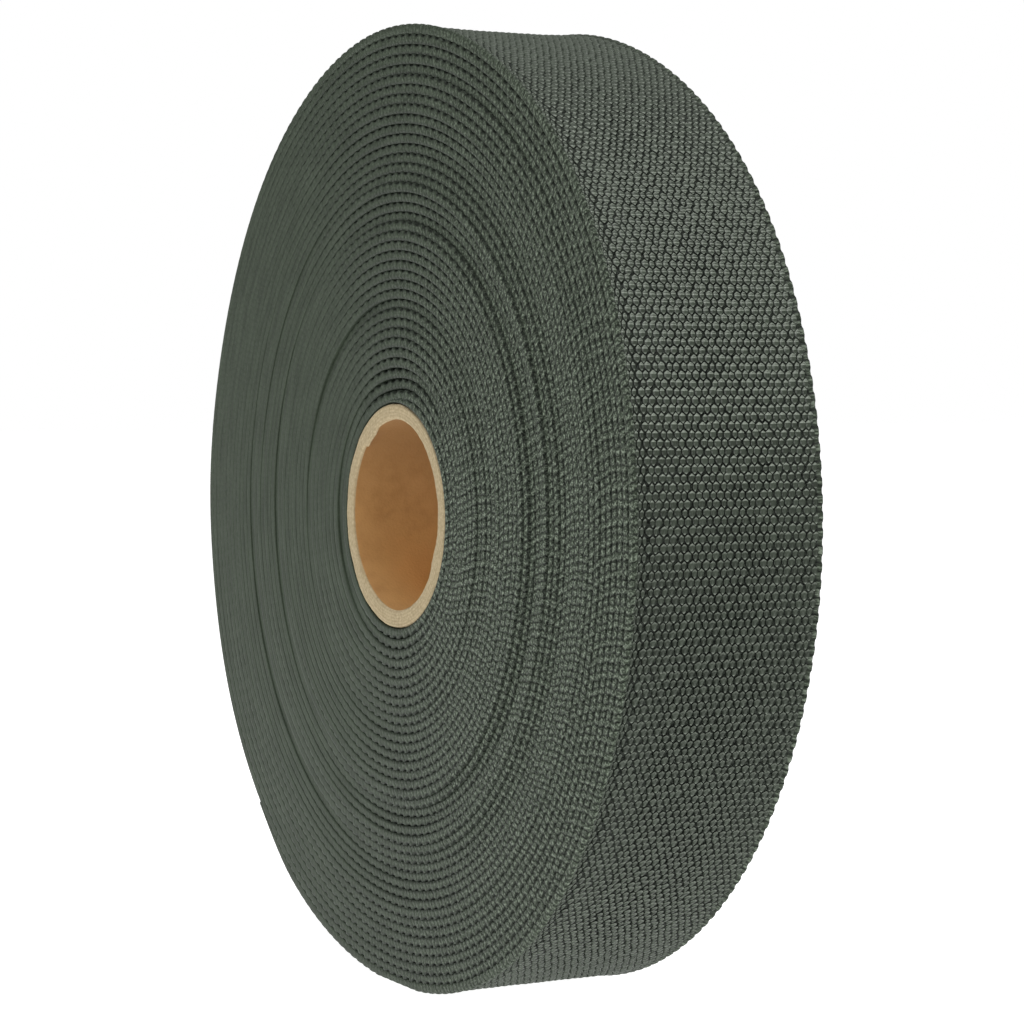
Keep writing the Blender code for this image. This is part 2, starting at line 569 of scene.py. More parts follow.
def crispness(piece, pressed):
    """Stores how clearly the threads' bumps, painted highlights and painted shade show, and how deep the
    dots' painted shade is.
    """
    angle = angles_round(piece)
    shown = np.exp(-((angle_between(angle, CRISP_PLACE) / CRISP_ANGLE) ** 3))
    crisp = CRISP_LEAST + (1.0 - CRISP_LEAST) * shown
    worn = worn_at(angle)
    add_attribute(piece, "crisp", crisp * (1.0 - WORN_SOFTER * worn))
    dot_shade_share = pressed * (1.0 - SQUARED_SHARE * worn) * (1.0 - CRISP_DOTS_LESS * shown)
    add_attribute(piece, "dot_shade_share", dot_shade_share)


def close_ends(piece):
    only(piece)
    bpy.ops.object.mode_set(mode="EDIT")
    bpy.ops.mesh.select_mode(type="EDGE")
    bpy.ops.mesh.select_all(action="DESELECT")
    bpy.ops.mesh.select_non_manifold()
    bpy.ops.mesh.fill_holes(sides=0)
    bpy.ops.object.mode_set(mode="OBJECT")


def strap_piece(cell, name, pressed, first_repeat, count):
    strip = copy_of(cell, name)
    array(strip, count, (REPEAT, 0.0, 0.0), merge=True)
    close_ends(strip)
    strip.location.x = inner_start + first_repeat * REPEAT
    place_in_mesh(strip)
    bpy.ops.object.shade_smooth()
    body_uv(strip)
    press_selvedges(strip)
    wind(strip)
    crispness(strip, pressed)
    print(name, "has", triangles(strip), "triangles and is", round(count * REPEAT, 3), "m long")
    return strip


wound_repeats = strap_repeats - LAST_TURN_REPEATS
third = wound_repeats // 3
LENGTHS = [
    # name, cell, how far the next turn presses on it, first repeat, number of repeats
    ("strap_inner_turns", inner_repeat, 1.0, 0, third),
    ("strap_middle_turns", inner_repeat, 1.0, third, third),
    ("strap_outer_turns", inner_repeat, 1.0, 2 * third, wound_repeats - 2 * third),
    ("strap_last_turn", outer_repeat, 0.3, wound_repeats, LAST_TURN_REPEATS),
]
strap_pieces = [strap_piece(cell, name, *rest) for name, cell, *rest in LENGTHS]

# %% [markdown]
# ## The raised threads
# The face of heavy webbing is a field of short floats: the bundles of nylon that pass over the weft and
# dive down again. Each looks like a small rounded shield that slants a little. A float is modelled once,
# as a ten-sided dome whose corners are moved to that outline, and is then copied into every place.

# %% One float
FLOAT_SINK = 0.00010
SHOULDER_SHARE = 0.81
SHOULDER_HEIGHT = 0.80
FLOAT_OUTLINE = [
    # along the strap, across it
    (1.00, 0.08),
    (0.90, 0.64),
    (0.38, 1.00),
    (-0.50, 1.00),
    (-0.98, 0.62),
    (-1.00, 0.08),
    (-0.82, -0.58),
    (-0.42, -0.98),
    (0.30, -1.00),
    (0.88, -0.62),
]

bpy.ops.mesh.primitive_cone_add(
    vertices=len(FLOAT_OUTLINE),
    radius1=1.0,
    radius2=SHOULDER_SHARE,
    depth=SHOULDER_HEIGHT,
    end_fill_type="NGON",
    location=(0.0, 0.0, 0.5 * SHOULDER_HEIGHT),
)
thread_float = bpy.context.object
thread_float.name = "thread_float"
place_in_mesh(thread_float)
bpy.ops.object.mode_set(mode="EDIT")
pick(thread_float, lambda face: face.normal.z > 0.9, "FACE")
bpy.ops.mesh.poke(offset=1.0 - SHOULDER_HEIGHT)
bpy.ops.object.mode_set(mode="OBJECT")

dome = flat_points(thread_float)
reach = np.hypot(dome[:, 0], dome[:, 1])
turned = np.arctan2(dome[:, 1], dome[:, 0]) / math.tau
corner = np.round(turned * len(FLOAT_OUTLINE)).astype(int) % len(FLOAT_OUTLINE)
dome[:, :2] = reach[:, None] * np.array(FLOAT_OUTLINE)[corner]
write_points(thread_float, dome)
thread_heights = np.clip(dome[:, 2], 0.0, 1.0)
thread_ends = dome[:, 0]
FLOAT_POINTS = len(dome)
print("one float has", FLOAT_POINTS, "points and", triangles(thread_float), "triangles")

# %% [markdown]
# ## The field of floats
# Wide and narrow floats alternate, and each lies one pick off its neighbour, so their ends interlock. The
# columns across the strap come from one small table, repeated from selvedge to selvedge. A few fine
# columns round the near corner, and the last columns sink a little into the far edge. The row of columns
# is then repeated along the last turn. Each float gets a small shift, size, lean and tone of its own,
# because no two bundles of thread lie alike.

# %% Float field
COLUMN_REPEAT = 0.002872
WIDE_HALF_LENGTH = 0.68 * PICK
NARROW_HALF_LENGTH = 0.62 * PICK
COLUMNS = [
    # place in the repeat, half width, half length, pick it passes over
    (0.000, 0.00077, WIDE_HALF_LENGTH, 0),
    (0.235, 0.00058, NARROW_HALF_LENGTH, 1),
    (0.470, 0.00062, NARROW_HALF_LENGTH, 0),
    (0.685, 0.00076, WIDE_HALF_LENGTH, 1),
]
FIRST_COLUMN = 0.00319
FIELD_COLUMNS = 48
FAR_EDGE_WIDTH = 0.0030
FAR_EDGE_SINK = 0.00028
FINE_COLUMNS = [
    # distance from the near edge, half width, how far it is sunk, pick it passes over
    (0.00082, 0.00042, 0.00006, 0),
    (0.00126, 0.00044, 0.00006, 1),
    (0.00170, 0.00048, 0.00004, 0),
    (0.00232, 0.00050, 0.00003, 1),
]


def place_float(from_edge, half_width, half_length, sunk, pick_number):
    column = copy_of(thread_float, "column")
    column.scale = (half_length, half_width, FLOAT_HEIGHT + FLOAT_SINK)
    column.location = (
        (0.5 + pick_number) * PICK,
        from_edge - HALF_WIDTH,
        0.5 * STRAP_THICKNESS - FLOAT_HEIGHT - FLOAT_SINK - sunk,
    )
    return column


columns = []
for number in range(FIELD_COLUMNS):
    place, half_width, half_length, pick_number = COLUMNS[number % len(COLUMNS)]
    from_edge = FIRST_COLUMN + (number // len(COLUMNS) + place) * COLUMN_REPEAT
    sunk = FAR_EDGE_SINK * max(0.0, (from_edge - STRAP_WIDTH) / FAR_EDGE_WIDTH + 1.0)
    columns.append(place_float(from_edge, half_width, half_length, sunk, pick_number))
for from_edge, half_width, sunk, pick_number in FINE_COLUMNS:
    columns.append(place_float(from_edge, half_width, NARROW_HALF_LENGTH, sunk, pick_number))
float_row = join(columns)
float_row.name = "float_row"
place_in_mesh(float_row)
print("floats in one repeat:", len(columns))

# %% Differences from float to float
FLOAT_SEED = 11
FLOAT_GROWTH = 0.05
FLOAT_SHIFT = (0.00006, 0.00004, 0.00002)
FLOAT_LEAN = 0.06


def vary_floats(piece, seed):
    """Gives each float its own small shift, size, lean and tone."""
    chance = np.random.default_rng(seed)
    points = flat_points(piece).reshape(-1, FLOAT_POINTS, 3)
    number = len(points)
    centre = points.mean(axis=1, keepdims=True)
    grown = 1.0 + chance.normal(0.0, FLOAT_GROWTH, (number, 1, 3))
    shift = chance.normal(0.0, 1.0, (number, 1, 3)) * np.array(FLOAT_SHIFT)
    lean = chance.normal(0.0, FLOAT_LEAN, (number, 1))
    local = (points - centre) * grown
    local[:, :, 1] += lean * local[:, :, 0]
    write_points(piece, (local + centre + shift).reshape(-1, 3))
    add_attribute(piece, "tone", np.repeat(chance.uniform(0.0, 1.0, number), FLOAT_POINTS))
    add_attribute(piece, "rise", np.tile(thread_heights, number))
    add_attribute(piece, "end", np.tile(thread_ends, number))


print("seed of the floats:", FLOAT_SEED)

# %% [markdown]
# ## Light on the floats
# Across each float runs one thin bright line, a painted highlight. It lies near one end of the floats
# high on the roll and moves to their other end further down. The painted shade in the pits between the
# floats is darkest on the upright part of the tread and much paler at its top and bottom, where the
# floats themselves also get painted light. Both are stored at each point, by its place round the axle,
# for the material to read. The row is then laid along the last turn, varied and wound, in three parts
# that are light enough to handle.

# %% Bright lines and dark pits
GLINT_MIDDLE = 28.0
GLINT_SPREAD = 40.0
GLINT_LOWEST = -0.74
GLINT_HIGHEST = 0.66
PALE_PITS_FROM = 0.76
PALE_PITS_FADE = 0.2
PALE_PITS_SHARE = 0.85


def light_on_floats(piece):
    """Stores how deep the painted shade in the pits is, and where along each float its painted highlight
    line lies.
    """
    x, y, z = flat_points(piece).T
    # Painted shade in the pits fades, and the floats get painted light, towards the top and bottom of the
    # tread.
    steep = np.abs(z - AXLE_Z) / np.hypot(x - AXLE_X, z - AXLE_Z)
    pale = PALE_PITS_SHARE * smooth_step((steep - PALE_PITS_FROM) / PALE_PITS_FADE)
    add_attribute(piece, "shade", 1.0 - pale)
    # Where the painted highlight line lies along each float.
    line_place = (angles_round(piece) - GLINT_MIDDLE) / GLINT_SPREAD
    add_attribute(piece, "glint", np.clip(line_place, GLINT_LOWEST, GLINT_HIGHEST))


print("bright line amid the floats at", GLINT_MIDDLE, "degrees")

# %% Wound floats
FLOATS_REPEATS = LAST_TURN_REPEATS - 1
FLOAT_PARTS = ["floats_first_part", "floats_second_part", "floats_third_part"]


def float_piece(name, first_repeat, count, seed):
    field = copy_of(float_row, name)
    array(field, count, (REPEAT, 0.0, 0.0))
    field.location.x = inner_start + first_repeat * REPEAT
    place_in_mesh(field)
    bpy.ops.object.shade_smooth()
    along, across, height = flat_points(field).T
    add_uv(field, along, across)
    vary_floats(field, seed)
    wind(field)
    light_on_floats(field)
    print(name, "has", triangles(field), "triangles")
    return field


part_repeats = FLOATS_REPEATS // len(FLOAT_PARTS)
float_pieces = []
for number, name in enumerate(FLOAT_PARTS):
    first_repeat = strap_repeats - FLOATS_REPEATS + number * part_repeats
    float_pieces.append(float_piece(name, first_repeat, part_repeats, FLOAT_SEED + number))

# %% [markdown]
# ## The sealed end
# Nylon webbing is cut with a hot knife, which melts the threads of the cut edge into one hard bead. The
# bead is a low block across the strap, bevelled round and drawn out a little unevenly.

# %% Sealed end
BEAD_LENGTH = 0.0022
BEAD_OVERHANG = 0.0002
BEAD_SIDE = 0.00005
BEAD_ROUND = 0.0004
BEAD_SLICES = 40
BEAD_PLACES = 24
BEAD_DRAWN = 0.00018
BEAD_RAISED = 0.00005
BEAD_SEED = 5

bpy.ops.mesh.primitive_cube_add(
    size=1.0,
    location=(STRAP_LENGTH + BEAD_OVERHANG - 0.5 * BEAD_LENGTH, 0.0, 0.0),
    scale=(BEAD_LENGTH, STRAP_WIDTH + 2.0 * BEAD_SIDE, STRAP_THICKNESS),
)
sealed_end = bpy.context.object
sealed_end.name = "sealed_end"
place_in_mesh(sealed_end)
bpy.ops.object.mode_set(mode="EDIT")
bpy.ops.mesh.select_all(action="SELECT")
bpy.ops.mesh.bevel(offset=BEAD_ROUND, segments=3, affect="EDGES")
for cut in range(1, BEAD_SLICES):
    slice_mesh((0.0, -HALF_WIDTH + cut * STRAP_WIDTH / BEAD_SLICES, 0.0), (0.0, 1.0, 0.0))
bpy.ops.object.mode_set(mode="OBJECT")
bpy.ops.object.shade_smooth()

bead_chance = np.random.default_rng(BEAD_SEED)
bead_points = flat_points(sealed_end)
bead_columns = np.linspace(-HALF_WIDTH, HALF_WIDTH, BEAD_PLACES)
bead_drawn = bead_chance.normal(0.0, BEAD_DRAWN, BEAD_PLACES)
bead_raised = bead_chance.normal(0.0, BEAD_RAISED, BEAD_PLACES)
past_middle = bead_points[:, 0] > STRAP_LENGTH
bead_points[:, 0] += past_middle * np.interp(bead_points[:, 1], bead_columns, bead_drawn)
bead_points[:, 2] += np.sign(bead_points[:, 2]) * np.interp(bead_points[:, 1], bead_columns, bead_raised)
write_points(sealed_end, bead_points)
add_uv(sealed_end, bead_points[:, 0], bead_points[:, 1])
wind(sealed_end)
print("sealed end:", triangles(sealed_end), "triangles")

# %% [markdown]
# ## The cardboard tube
# The tube is wound from plies of kraft paper and sawn to the strap's width, so its ring shows the cut
# plies as fine pale circles. It is modelled from a cylinder: both ends are inset once for each ply, the
# last inset faces are bridged to open the bore, and the points are then roughened like sawn board.

# %% Tube body
TUBE_STEPS = 160
PLIES = 5
TUBE_WALL = TUBE_RADIUS - TUBE_BORE_RADIUS
BORE_SLICES = 12
EDGE_ROUND = 0.00032
TUBE_STANDS_OUT = 0.00018
TUBE_SEED = 3

bpy.ops.mesh.primitive_cylinder_add(
    vertices=TUBE_STEPS,
    radius=TUBE_RADIUS,
    depth=STRAP_WIDTH,
    end_fill_type="NGON",
    location=(AXLE_X, 0.0, CORE_Z),
    rotation=(math.radians(90.0), 0.0, 0.0),
)
cut_tube = bpy.context.object
cut_tube.name = "cut_tube"
place_in_mesh(cut_tube)
bpy.ops.object.mode_set(mode="EDIT")
pick(cut_tube, lambda face: abs(face.normal.y) > 0.9, "FACE")
bpy.ops.mesh.inset(thickness=EDGE_ROUND, depth=0.0)
for ply in range(PLIES):
    bpy.ops.mesh.inset(thickness=(TUBE_WALL - 2.0 * EDGE_ROUND) / PLIES, depth=0.0)
bpy.ops.mesh.inset(thickness=EDGE_ROUND, depth=0.0)
bpy.ops.mesh.bridge_edge_loops()
for cut in range(1, BORE_SLICES):
    slice_mesh((0.0, -HALF_WIDTH + cut * STRAP_WIDTH / BORE_SLICES, 0.0), (0.0, 1.0, 0.0))
for end in (-1.0, 1.0):
    slice_mesh((0.0, end * (HALF_WIDTH - 2.0 * EDGE_ROUND), 0.0), (0.0, 1.0, 0.0))
    slice_mesh((0.0, end * (HALF_WIDTH - 4.0 * EDGE_ROUND), 0.0), (0.0, 1.0, 0.0))
bpy.ops.object.mode_set(mode="OBJECT")
print("tube:", triangles(cut_tube), "triangles")

# %% [markdown]
# ## Sawn board
# A sawn tube is never quite true. The bore's rim bulges where the innermost ply has come loose, and at
# the upper left that ply ends in a small torn step. Both come from a short table of places round the
# bore, and a little seeded roughness lifts the cut plies against each other.

# %% Uneven bore and plies
BORE_BULGES = [
    # angle, how far inwards, spread
    (104.0, 0.00030, 16.0),
    (338.0, 0.00060, 11.0),
    (240.0, 0.00018, 18.0),
    (20.0, -0.00012, 25.0),
    (190.0, -0.00015, 30.0),
]
BORE_LIFT = 0.00022
FLAP_START = 112.0
FLAP_END = 133.0
FLAP_RISE = 9.0
FLAP_INWARDS = 0.00090
FLAP_DEPTH = 0.0026
PLY_ROUGHNESS = 0.00005
PLY_PLACES = 40


def roughen_tube(tube):
    chance = np.random.default_rng(TUBE_SEED)
    points = flat_points(tube)
    reach = np.hypot(points[:, 0] - AXLE_X, points[:, 2] - CORE_Z)
    angle = np.degrees(np.arctan2(points[:, 2] - CORE_Z, points[:, 0] - AXLE_X)) % 360.0
    bore_share = np.clip((TUBE_RADIUS - reach) / TUBE_WALL, 0.0, 1.0)
    inwards = -BORE_LIFT * np.sin(np.radians(angle))
    for place, depth, spread in BORE_BULGES:
        inwards += depth * np.exp(-((angle_between(angle, place) / spread) ** 2))
    near_end = np.clip((FLAP_DEPTH - HALF_WIDTH - points[:, 1]) / FLAP_DEPTH, 0.0, 1.0)
    on_flap = smooth_step((angle - FLAP_START) / FLAP_RISE) * (angle < FLAP_END)
    inwards += FLAP_INWARDS * on_flap * near_end
    reach -= bore_share**2 * inwards
    on_cut = np.abs(points[:, 1]) > HALF_WIDTH - 0.5 * EDGE_ROUND
    round_share = angle / 360.0 * PLY_PLACES
    ply = np.round(bore_share * (PLIES + 1)).astype(int)
    lift = chance.normal(0.0, PLY_ROUGHNESS, (PLIES + 3, PLY_PLACES + 1))
    lift[:, PLY_PLACES] = lift[:, 0]
    low = np.floor(round_share).astype(int) % PLY_PLACES
    share = round_share - np.floor(round_share)
    raised = (1.0 - share) * lift[ply, low] + share * lift[ply, low + 1]
    raised += chance.normal(0.0, 0.4 * PLY_ROUGHNESS, len(points))
    points[:, 1] += on_cut * np.sign(points[:, 1]) * (raised + TUBE_STANDS_OUT)
    at_corner = on_cut & ((bore_share > 0.99) | (bore_share < 0.01))
    points[:, 1] -= at_corner * np.sign(points[:, 1]) * EDGE_ROUND
    points[:, 0] = AXLE_X + reach * np.cos(np.radians(angle))
    points[:, 2] = CORE_Z + reach * np.sin(np.radians(angle))
    write_points(tube, points)
    add_attribute(tube, "sawn", np.abs(points[:, 1]) > HALF_WIDTH - 1.5 * EDGE_ROUND)


roughen_tube(cut_tube)
only(cut_tube)
bpy.ops.object.shade_smooth_by_angle(angle=math.radians(50.0))
print("bulges of the bore:", len(BORE_BULGES))

# %% [markdown]
# ## Materials in code
# A material is a small graph of nodes. These helpers add one node, wire it up and hand back its output,
# so that each recipe below reads from the coordinates to the shader.

# %% Helpers for materials
def new_look(name, roughness, gloss=0.5):
    look = bpy.data.materials.new(name)
    look.use_nodes = True
    shader = look.node_tree.nodes["Principled BSDF"]
    shader.inputs["Roughness"].default_value = roughness
    shader.inputs["Specular IOR Level"].default_value = gloss
    return look, shader


def add_node(look, kind, inputs=(), output=0, **settings):
    """Adds a node, sets or links its inputs by name or number, and returns one of its outputs."""
    made = look.node_tree.nodes.new(kind)
    for name, value in settings.items():
        setattr(made, name, value)
    for name, value in dict(inputs).items():
        if isinstance(value, bpy.types.NodeSocket):
            look.node_tree.links.new(value, made.inputs[name])
        else:
            made.inputs[name].default_value = value
    return made.outputs[output]


def maths(look, operation, *values):
    return add_node(look, "ShaderNodeMath", enumerate(values), operation=operation)


def product(look, first, *others):
    for other in others:
        first = maths(look, "MULTIPLY", first, other)
    return first


def off_middle_of_step(look, count):
    """How far a running count is past the middle between two whole numbers."""
    return maths(look, "SUBTRACT", maths(look, "FRACT", count), 0.5)


def stored(look, name):
    """The value that the mesh keeps at each point under this name."""
    return add_node(look, "ShaderNodeAttribute", output=2, attribute_name=name)


def scaled(look, coordinates, scale):
    return add_node(look, "ShaderNodeMapping", {"Vector": coordinates, "Scale": scale})


def noise(look, coordinates, scale, detail=2.0, roughness=0.5):
    return add_node(
        look,
        "ShaderNodeTexNoise",
        {"Vector": coordinates, "Scale": scale, "Detail": detail, "Roughness": roughness},
    )


def ramp(look, value, low, high, new_low=0.0, new_high=1.0):
    return add_node(
        look,
        "ShaderNodeMapRange",
        {"Value": value, "From Min": low, "From Max": high, "To Min": new_low, "To Max": new_high},
    )


def mixed(look, share, first, second):
    """Mixes two colours, given as sockets or as linear red, green and blue."""
    made = look.node_tree.nodes.new("ShaderNodeMix")
    made.data_type = "RGBA"
    for name, value in (("Factor_Float", share), ("A_Color", first), ("B_Color", second)):
        socket = next(found for found in made.inputs if found.identifier == name)
        if isinstance(value, bpy.types.NodeSocket):
            look.node_tree.links.new(value, socket)
        else:
            socket.default_value = value if isinstance(value, float) else (*value, 1.0)
    return next(found for found in made.outputs if found.identifier == "Result_Color")


def bumped(look, height, distance, strength=1.0, below=None):
    inputs = {"Height": height, "Distance": distance, "Strength": strength}
    if below is not None:
        inputs["Normal"] = below
    return add_node(look, "ShaderNodeBump", inputs)


def wire(look, shader, colour, normal, roughness=None):
    links = look.node_tree.links
    for name, value in (("Base Color", colour), ("Normal", normal), ("Roughness", roughness)):
        if value is not None:
            links.new(value, shader.inputs[name])


print("material helpers ready")

# %% [markdown]
# ## Woven nylon, seen from the side
# On the side of the roll each pick of weft wraps round the selvedge as a small slanted loop, flecked with
# painted highlights, with painted shade in the hollows between loops. The groove between two turns is
# painted soft and dark as shade, and once in each repeat that painted shade deepens to an almost black
# dot. All of them follow the strap's own UV map: one coordinate runs along the strap and the other round
# its section, so the pattern turns with every turn of the roll. Between the floats of the last turn the
# same yarn lies in shade, so its ground is painted nearly black.

# %% Selvedge material
# The first green is a painted highlight and the last is painted shade; the two between are the yarn's own
# tones.
NYLON_PAINTED_HIGHLIGHT = (0.310, 0.370, 0.282)
NYLON_LIGHT = (0.054, 0.072, 0.047)
NYLON = (0.036, 0.049, 0.031)
NYLON_PAINTED_SHADE = (0.008, 0.011, 0.008)
NYLON_GLOSS = 0.2
DOT_PLACE = 0.12
DOT_HALF_LENGTH = 0.33
DOT_AROUND = 0.076
DOT_HALF_HEIGHT = 0.052
PICK_CM = 100.0 * PICK
REPEAT_CM = 100.0 * REPEAT
LOOP_SLANT = 1.8


def make_selvedge_look():
    look, shader = new_look("green_nylon_selvedge", 0.55, NYLON_GLOSS)
    strap_map = add_node(look, "ShaderNodeUVMap", uv_map="strap")
    crisp = stored(look, "crisp")
    dot_shade_share = stored(look, "dot_shade_share")
    parts = add_node(look, "ShaderNodeSeparateXYZ", {"Vector": strap_map})
    along = parts.node.outputs["X"]
    around = parts.node.outputs["Y"]
    wobble = noise(look, scaled(look, strap_map, (4.0, 7.0, 1.0)), 1.0)
    wobble = maths(look, "SUBTRACT", wobble, 0.5)
    slant = product(look, around, LOOP_SLANT)
    phase = maths(look, "ADD", maths(look, "DIVIDE", along, PICK_CM), slant)
    phase = maths(look, "ADD", phase, product(look, wobble, 1.2))
    from_middle = off_middle_of_step(look, phase)
    hollow = product(look, from_middle, from_middle, 4.0)
    loop = maths(look, "SUBTRACT", 1.0, hollow)
    # Painted shade in each notch: an almost black dot once in each repeat, on the groove between two turns.
    repeat = maths(look, "ADD", maths(look, "DIVIDE", along, REPEAT_CM), 0.5 - DOT_PLACE)
    repeat = maths(look, "ADD", repeat, product(look, wobble, 0.15))
    off_dot = maths(look, "DIVIDE", off_middle_of_step(look, repeat), DOT_HALF_LENGTH)
    off_groove = maths(look, "SUBTRACT", around, DOT_AROUND)
    off_groove = maths(look, "DIVIDE", off_groove, DOT_HALF_HEIGHT)
    off_centre = maths(look, "ADD", product(look, off_dot, off_dot), product(look, off_groove, off_groove))
    dot_shade = product(look, ramp(look, off_centre, 0.05, 1.2, 0.95, 0.0), dot_shade_share)
    # Painted shade along the groove between two turns.
    off_middle = maths(look, "ABSOLUTE", around)
    groove_shade = product(look, ramp(look, off_middle, 0.035, 0.095, 0.0, 0.62), dot_shade_share)
    filament = noise(look, scaled(look, strap_map, (80.0, 24.0, 1.0)), 1.0, 2.0, 0.6)
    soft = noise(look, scaled(look, strap_map, (0.9, 6.0, 1.0)), 1.0, 2.0, 0.5)
    speck = noise(look, scaled(look, strap_map, (23.0, 17.0, 1.0)), 1.0, 2.0, 0.6)
    colour = mixed(look, ramp(look, soft, 0.36, 0.62), NYLON, NYLON_LIGHT)
    # Painted highlight: bright flecks on the loops, where the light catches them.
    on_loop = ramp(look, hollow, 0.2, 0.8, 1.0, 0.2)
    fleck_highlight = product(look, ramp(look, speck, 0.46, 0.62), crisp, on_loop, 0.85)
    colour = mixed(look, fleck_highlight, colour, NYLON_PAINTED_HIGHLIGHT)
    # Painted shade in the hollows between the loops, and between them at the corner of the selvedge.
    off_fleck = ramp(look, speck, 0.40, 0.58, 1.0, 0.2)
    valley_shade = product(look, ramp(look, hollow, 0.35, 0.9), crisp, off_fleck)
    at_corner = ramp(look, off_middle, 0.035, 0.065)
    shade_between_loops = product(look, ramp(look, hollow, 0.45, 0.9), at_corner, crisp)
    valley_shade = maths(look, "MAXIMUM", valley_shade, shade_between_loops)
    colour = mixed(look, product(look, valley_shade, 0.75), colour, NYLON_PAINTED_SHADE)
    colour = mixed(look, groove_shade, colour, NYLON_PAINTED_SHADE)
    colour = mixed(look, dot_shade, colour, NYLON_PAINTED_SHADE)
    # Painted shade on the broad side, seen only as the ground between the floats of the last turn.
    deep = ramp(look, off_middle, 0.15, 0.19, 0.0, 0.85)
    colour = mixed(look, deep, colour, NYLON_PAINTED_SHADE)
    normal = bumped(look, product(look, loop, crisp), 0.00040)
    normal = bumped(look, product(look, speck, crisp), 0.00040, 0.9, normal)
    normal = bumped(look, filament, 0.00003, 0.8, normal)
    wire(look, shader, colour, normal)
    return look


selvedge_look = make_selvedge_look()
print("made", selvedge_look.name)

# %% [markdown]
# ## Woven nylon, seen from the tread
# Each float is a bundle of filaments that run along the strap. A painted highlight lies on the rim at
# both its ends and on a thin line across it, its body is darker, and its sides dive into rough pits that
# are painted almost black as shade. Towards the top and bottom of the tread the floats get painted
# light. The height of each point, its place between the two ends, the place of the painted bright line,
# the depth of painted shade and the float's own tone were stored on the mesh, and the filaments follow
# the UV map.

# %% Float material
# The first two greens are the yarn's own tones; the third is painted light and the fourth a painted
# highlight.
FLOAT_MIDDLE = (0.034, 0.042, 0.031)
FLOAT_LIGHT = (0.083, 0.102, 0.076)
FLOAT_PAINTED_LIGHT = (0.115, 0.140, 0.106)
FLOAT_PAINTED_HIGHLIGHT = (0.380, 0.425, 0.355)
FLOAT_GLOSS = 0.22
FLOAT_ROUGHNESS = 0.38
PIT_ROUGHNESS = 0.95


def make_float_look():
    look, shader = new_look("green_nylon_floats", FLOAT_ROUGHNESS, FLOAT_GLOSS)
    strap_map = add_node(look, "ShaderNodeUVMap", uv_map="strap")
    tone = stored(look, "tone")
    rise = stored(look, "rise")
    end = stored(look, "end")
    shade = stored(look, "shade")
    filament = noise(look, scaled(look, strap_map, (14.0, 120.0, 1.0)), 1.0, 2.0, 0.6)
    # The yarn's own tone, from its filaments and each float's tone.
    fibre_tone = maths(look, "ADD", product(look, filament, 0.75), product(look, tone, 0.25))
    colour = mixed(look, ramp(look, fibre_tone, 0.3, 0.75), FLOAT_MIDDLE, FLOAT_LIGHT)
    # Painted light: the floats are painted paler towards the top and bottom of the tread.
    colour = mixed(look, ramp(look, shade, 1.0, 0.15, 0.0, 0.3), colour, FLOAT_PAINTED_LIGHT)
    # Painted highlight on the rims at both ends of each float.
    upper_end_highlight = ramp(look, end, -0.25, -0.60, 0.0, 0.65)
    lower_end_highlight = ramp(look, end, 0.45, 0.80, 0.0, 0.75)
    both_ends_highlight = maths(look, "ADD", upper_end_highlight, lower_end_highlight)
    rim_highlight = product(look, ramp(look, rise, 0.92, 0.84), both_ends_highlight, shade)
    # Painted shade in the pits between the floats.
    pit_shade = product(look, ramp(look, rise, 0.77, 0.55), shade)
    # Painted highlight: one thin glint line across each float.
    off_line = maths(look, "SUBTRACT", end, stored(look, "glint"))
    line = ramp(look, product(look, off_line, off_line), 0.0, 0.026, 0.85, 0.0)
    broken_glint_line = product(look, line, ramp(look, filament, 0.35, 0.60, 0.4, 1.0))
    glint = product(look, broken_glint_line, ramp(look, rise, 0.79, 0.83), shade)
    colour = mixed(look, rim_highlight, colour, FLOAT_PAINTED_HIGHLIGHT)
    colour = mixed(look, glint, colour, FLOAT_PAINTED_HIGHLIGHT)
    colour = mixed(look, pit_shade, colour, NYLON_PAINTED_SHADE)
    normal = bumped(look, filament, 0.00004, 0.9)
    wire(look, shader, colour, normal, ramp(look, pit_shade, 0.1, 0.5, FLOAT_ROUGHNESS, PIT_ROUGHNESS))
    return look


float_look = make_float_look()
print("made", float_look.name)

# %% [markdown]
# ## Melted nylon
# Where the hot knife went through, the fibres have run together: the bead is darker, smoother and
# glossier than the weave, with small pits and drips.

# %% Melted end material
MELTED_DARK = (0.030, 0.038, 0.028)
MELTED_LIGHT = (0.060, 0.073, 0.056)


def make_melted_look():
    look, shader = new_look("melted_nylon", 0.32)
    place = add_node(look, "ShaderNodeTexCoord", output=3)
    lumps = noise(look, place, 900.0, 3.0, 0.6)
    colour = mixed(look, ramp(look, lumps, 0.35, 0.65), MELTED_DARK, MELTED_LIGHT)
    wire(look, shader, colour, bumped(look, lumps, 0.00015))
    return look


melted_look = make_melted_look()
print("made", melted_look.name)

# %% [markdown]
# ## Kraft board
# The sawn ring is paler than the skin of the board, because the saw opens the paper's light fibres. The
# plies show as faint circles round the axle. The skin inside the bore is mottled brown, with painted shade
# at the top and painted light deep inside at the bottom.

# %% Board material
# The first three browns are the board's own mottling; the fourth is painted shade for the top of the bore
# and the fifth painted light deep inside at the bottom.
BORE_BROWN = (0.520, 0.290, 0.100)
BORE_BROWN_DARK = (0.450, 0.242, 0.080)
BORE_BROWN_LIGHT = (0.560, 0.316, 0.114)
BORE_BROWN_PAINTED_SHADE = (0.270, 0.138, 0.043)
BORE_BROWN_PAINTED_LIGHT = (0.880, 0.515, 0.190)
SAWN_PALE = (0.590, 0.485, 0.300)
SAWN_DARK = (0.400, 0.310, 0.175)
BORE_HIGH = 0.014
BORE_LOW = -0.012
BORE_DEEP = (-0.0175, -0.0085)


